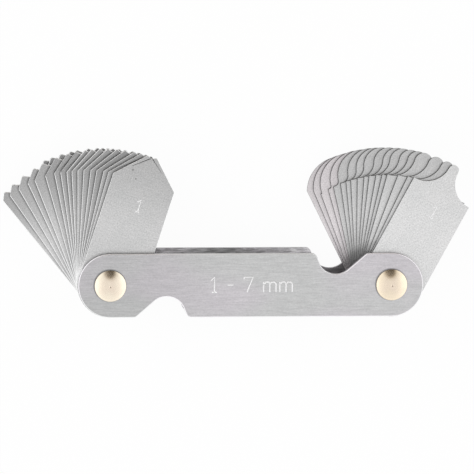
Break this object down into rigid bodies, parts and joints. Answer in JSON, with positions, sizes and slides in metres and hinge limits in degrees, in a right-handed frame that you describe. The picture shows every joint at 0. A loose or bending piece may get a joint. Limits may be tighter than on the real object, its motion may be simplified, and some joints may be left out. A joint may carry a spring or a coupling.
{
  "type": "radius gauge",
  "caption": "Folding radius gauge: a riveted flat case with a fan of thin steel leaves at each end, hollow-tipped on one side and round-nosed on the other.",
  "frame": {"origin": "on the left rivet's axis, in the plane of the flat formed rivet heads on which the gauge rests", "axes": "+X along the case from the concave bundle's rivet to the convex one's, +Z out of the marked face along the rivets, +Y the side to which the leaves are fanned"},
  "size_m": [0.0913, 0.033, 0.0134],
  "materials": {
    "case_steel": "brushed along the case, satin",
    "concave_leaf_steel": "ground matt steel",
    "convex_leaf_steel": "ground matt steel",
    "rivet_brass": "turned and polished"
  },
  "bodies": {
    "case": {"front_plate": "case_steel", "back_plate": "case_steel", "left_rivet": "rivet_brass", "right_rivet": "rivet_brass"},
    "concave_leaf_r1_00": {"concave_leaf_r1_00": "concave_leaf_steel"},
    "concave_leaf_r1_25": {"concave_leaf_r1_25": "concave_leaf_steel"},
    "concave_leaf_r1_50": {"concave_leaf_r1_50": "concave_leaf_steel"},
    "concave_leaf_r1_75": {"concave_leaf_r1_75": "concave_leaf_steel"},
    "concave_leaf_r2_00": {"concave_leaf_r2_00": "concave_leaf_steel"},
    "concave_leaf_r2_25": {"concave_leaf_r2_25": "concave_leaf_steel"},
    "concave_leaf_r2_50": {"concave_leaf_r2_50": "concave_leaf_steel"},
    "concave_leaf_r2_75": {"concave_leaf_r2_75": "concave_leaf_steel"},
    "concave_leaf_r3_00": {"concave_leaf_r3_00": "concave_leaf_steel"},
    "concave_leaf_r3_50": {"concave_leaf_r3_50": "concave_leaf_steel"},
    "concave_leaf_r4_00": {"concave_leaf_r4_00": "concave_leaf_steel"},
    "concave_leaf_r4_50": {"concave_leaf_r4_50": "concave_leaf_steel"},
    "concave_leaf_r5_00": {"concave_leaf_r5_00": "concave_leaf_steel"},
    "concave_leaf_r5_50": {"concave_leaf_r5_50": "concave_leaf_steel"},
    "concave_leaf_r6_00": {"concave_leaf_r6_00": "concave_leaf_steel"},
    "concave_leaf_r6_50": {"concave_leaf_r6_50": "concave_leaf_steel"},
    "concave_leaf_r7_00": {"concave_leaf_r7_00": "concave_leaf_steel"},
    "convex_leaf_r1_00": {"convex_leaf_r1_00": "convex_leaf_steel"},
    "convex_leaf_r1_25": {"convex_leaf_r1_25": "convex_leaf_steel"},
    "convex_leaf_r1_50": {"convex_leaf_r1_50": "convex_leaf_steel"},
    "convex_leaf_r1_75": {"convex_leaf_r1_75": "convex_leaf_steel"},
    "convex_leaf_r2_00": {"convex_leaf_r2_00": "convex_leaf_steel"},
    "convex_leaf_r2_25": {"convex_leaf_r2_25": "convex_leaf_steel"},
    "convex_leaf_r2_50": {"convex_leaf_r2_50": "convex_leaf_steel"},
    "convex_leaf_r2_75": {"convex_leaf_r2_75": "convex_leaf_steel"},
    "convex_leaf_r3_00": {"convex_leaf_r3_00": "convex_leaf_steel"},
    "convex_leaf_r3_50": {"convex_leaf_r3_50": "convex_leaf_steel"},
    "convex_leaf_r4_00": {"convex_leaf_r4_00": "convex_leaf_steel"},
    "convex_leaf_r4_50": {"convex_leaf_r4_50": "convex_leaf_steel"},
    "convex_leaf_r5_00": {"convex_leaf_r5_00": "convex_leaf_steel"},
    "convex_leaf_r5_50": {"convex_leaf_r5_50": "convex_leaf_steel"},
    "convex_leaf_r6_00": {"convex_leaf_r6_00": "convex_leaf_steel"},
    "convex_leaf_r6_50": {"convex_leaf_r6_50": "convex_leaf_steel"},
    "convex_leaf_r7_00": {"convex_leaf_r7_00": "convex_leaf_steel"}
  },
  "joints": [
    {"name": "concave_leaf_r1_00_pivot", "type": "hinge", "parent": "case", "child": "concave_leaf_r1_00", "pos_m": [0, 0, 0.0109], "axis": [0, 0, 1], "continuous": true},
    {"name": "concave_leaf_r1_25_pivot", "type": "hinge", "parent": "case", "child": "concave_leaf_r1_25", "pos_m": [0, 0, 0.01035], "axis": [0, 0, 1], "continuous": true},
    {"name": "concave_leaf_r1_50_pivot", "type": "hinge", "parent": "case", "child": "concave_leaf_r1_50", "pos_m": [0, 0, 0.0098], "axis": [0, 0, 1], "continuous": true},
    {"name": "concave_leaf_r1_75_pivot", "type": "hinge", "parent": "case", "child": "concave_leaf_r1_75", "pos_m": [0, 0, 0.00925], "axis": [0, 0, 1], "continuous": true},
    {"name": "concave_leaf_r2_00_pivot", "type": "hinge", "parent": "case", "child": "concave_leaf_r2_00", "pos_m": [0, 0, 0.0087], "axis": [0, 0, 1], "continuous": true},
    {"name": "concave_leaf_r2_25_pivot", "type": "hinge", "parent": "case", "child": "concave_leaf_r2_25", "pos_m": [0, 0, 0.00815], "axis": [0, 0, 1], "continuous": true},
    {"name": "concave_leaf_r2_50_pivot", "type": "hinge", "parent": "case", "child": "concave_leaf_r2_50", "pos_m": [0, 0, 0.0076], "axis": [0, 0, 1], "continuous": true},
    {"name": "concave_leaf_r2_75_pivot", "type": "hinge", "parent": "case", "child": "concave_leaf_r2_75", "pos_m": [0, 0, 0.00705], "axis": [0, 0, 1], "continuous": true},
    {"name": "concave_leaf_r3_00_pivot", "type": "hinge", "parent": "case", "child": "concave_leaf_r3_00", "pos_m": [0, 0, 0.0065], "axis": [0, 0, 1], "continuous": true},
    {"name": "concave_leaf_r3_50_pivot", "type": "hinge", "parent": "case", "child": "concave_leaf_r3_50", "pos_m": [0, 0, 0.00595], "axis": [0, 0, 1], "continuous": true},
    {"name": "concave_leaf_r4_00_pivot", "type": "hinge", "parent": "case", "child": "concave_leaf_r4_00", "pos_m": [0, 0, 0.0054], "axis": [0, 0, 1], "continuous": true},
    {"name": "concave_leaf_r4_50_pivot", "type": "hinge", "parent": "case", "child": "concave_leaf_r4_50", "pos_m": [0, 0, 0.00485], "axis": [0, 0, 1], "continuous": true},
    {"name": "concave_leaf_r5_00_pivot", "type": "hinge", "parent": "case", "child": "concave_leaf_r5_00", "pos_m": [0, 0, 0.0043], "axis": [0, 0, 1], "continuous": true},
    {"name": "concave_leaf_r5_50_pivot", "type": "hinge", "parent": "case", "child": "concave_leaf_r5_50", "pos_m": [0, 0, 0.00375], "axis": [0, 0, 1], "continuous": true},
    {"name": "concave_leaf_r6_00_pivot", "type": "hinge", "parent": "case", "child": "concave_leaf_r6_00", "pos_m": [0, 0, 0.0032], "axis": [0, 0, 1], "continuous": true},
    {"name": "concave_leaf_r6_50_pivot", "type": "hinge", "parent": "case", "child": "concave_leaf_r6_50", "pos_m": [0, 0, 0.00265], "axis": [0, 0, 1], "continuous": true},
    {"name": "concave_leaf_r7_00_pivot", "type": "hinge", "parent": "case", "child": "concave_leaf_r7_00", "pos_m": [0, 0, 0.0021], "axis": [0, 0, 1], "continuous": true},
    {"name": "convex_leaf_r1_00_pivot", "type": "hinge", "parent": "case", "child": "convex_leaf_r1_00", "pos_m": [0.0553, 0, 0.0109], "axis": [0, 0, 1], "continuous": true},
    {"name": "convex_leaf_r1_25_pivot", "type": "hinge", "parent": "case", "child": "convex_leaf_r1_25", "pos_m": [0.0553, 0, 0.01035], "axis": [0, 0, 1], "continuous": true},
    {"name": "convex_leaf_r1_50_pivot", "type": "hinge", "parent": "case", "child": "convex_leaf_r1_50", "pos_m": [0.0553, 0, 0.0098], "axis": [0, 0, 1], "continuous": true},
    {"name": "convex_leaf_r1_75_pivot", "type": "hinge", "parent": "case", "child": "convex_leaf_r1_75", "pos_m": [0.0553, 0, 0.00925], "axis": [0, 0, 1], "continuous": true},
    {"name": "convex_leaf_r2_00_pivot", "type": "hinge", "parent": "case", "child": "convex_leaf_r2_00", "pos_m": [0.0553, 0, 0.0087], "axis": [0, 0, 1], "continuous": true},
    {"name": "convex_leaf_r2_25_pivot", "type": "hinge", "parent": "case", "child": "convex_leaf_r2_25", "pos_m": [0.0553, 0, 0.00815], "axis": [0, 0, 1], "continuous": true},
    {"name": "convex_leaf_r2_50_pivot", "type": "hinge", "parent": "case", "child": "convex_leaf_r2_50", "pos_m": [0.0553, 0, 0.0076], "axis": [0, 0, 1], "continuous": true},
    {"name": "convex_leaf_r2_75_pivot", "type": "hinge", "parent": "case", "child": "convex_leaf_r2_75", "pos_m": [0.0553, 0, 0.00705], "axis": [0, 0, 1], "continuous": true},
    {"name": "convex_leaf_r3_00_pivot", "type": "hinge", "parent": "case", "child": "convex_leaf_r3_00", "pos_m": [0.0553, 0, 0.0065], "axis": [0, 0, 1], "continuous": true},
    {"name": "convex_leaf_r3_50_pivot", "type": "hinge", "parent": "case", "child": "convex_leaf_r3_50", "pos_m": [0.0553, 0, 0.00595], "axis": [0, 0, 1], "continuous": true},
    {"name": "convex_leaf_r4_00_pivot", "type": "hinge", "parent": "case", "child": "convex_leaf_r4_00", "pos_m": [0.0553, 0, 0.0054], "axis": [0, 0, 1], "continuous": true},
    {"name": "convex_leaf_r4_50_pivot", "type": "hinge", "parent": "case", "child": "convex_leaf_r4_50", "pos_m": [0.0553, 0, 0.00485], "axis": [0, 0, 1], "continuous": true},
    {"name": "convex_leaf_r5_00_pivot", "type": "hinge", "parent": "case", "child": "convex_leaf_r5_00", "pos_m": [0.0553, 0, 0.0043], "axis": [0, 0, 1], "continuous": true},
    {"name": "convex_leaf_r5_50_pivot", "type": "hinge", "parent": "case", "child": "convex_leaf_r5_50", "pos_m": [0.0553, 0, 0.00375], "axis": [0, 0, 1], "continuous": true},
    {"name": "convex_leaf_r6_00_pivot", "type": "hinge", "parent": "case", "child": "convex_leaf_r6_00", "pos_m": [0.0553, 0, 0.0032], "axis": [0, 0, 1], "continuous": true},
    {"name": "convex_leaf_r6_50_pivot", "type": "hinge", "parent": "case", "child": "convex_leaf_r6_50", "pos_m": [0.0553, 0, 0.00265], "axis": [0, 0, 1], "continuous": true},
    {"name": "convex_leaf_r7_00_pivot", "type": "hinge", "parent": "case", "child": "convex_leaf_r7_00", "pos_m": [0.0553, 0, 0.0021], "axis": [0, 0, 1], "continuous": true}
  ]
}
